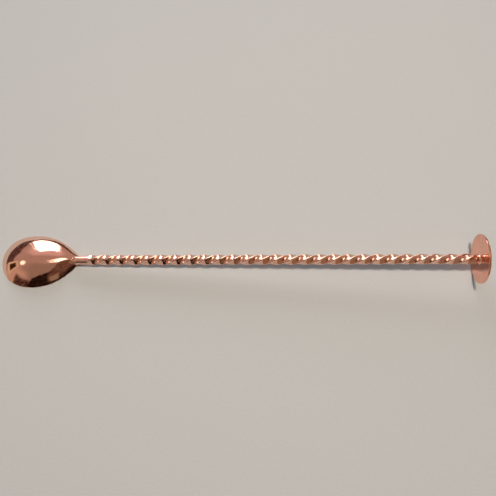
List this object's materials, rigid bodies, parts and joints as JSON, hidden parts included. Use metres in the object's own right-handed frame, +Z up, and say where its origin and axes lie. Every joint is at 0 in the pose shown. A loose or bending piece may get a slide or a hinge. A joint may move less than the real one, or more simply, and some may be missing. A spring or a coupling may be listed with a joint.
{
  "type": "bar spoon",
  "caption": "Long twisted-stem bar spoon with an egg-shaped bowl at one end and a flat round muddler disc at the other.",
  "frame": {"origin": "on the table plane, under the centre of the overall box, halfway along the spoon", "axes": "+X along the spoon from the bowl towards the disc, +Y across it, +Z up from the table; the bowl lies rim down"},
  "size_m": [0.27, 0.0304, 0.0274],
  "materials": {
    "polished_copper": "mirror-polished copper plating with light handling scratches",
    "twisted_copper": "bright copper plating over a twisted square bar, slightly duller between the ridges",
    "braze": "copper-plated brazing metal, a little rougher than the sheet"
  },
  "bodies": {
    "root": {"bowl": "polished_copper", "stem": "twisted_copper", "disc": "polished_copper", "bowl_braze": "braze", "disc_braze": "braze"}
  },
  "joints": []
}
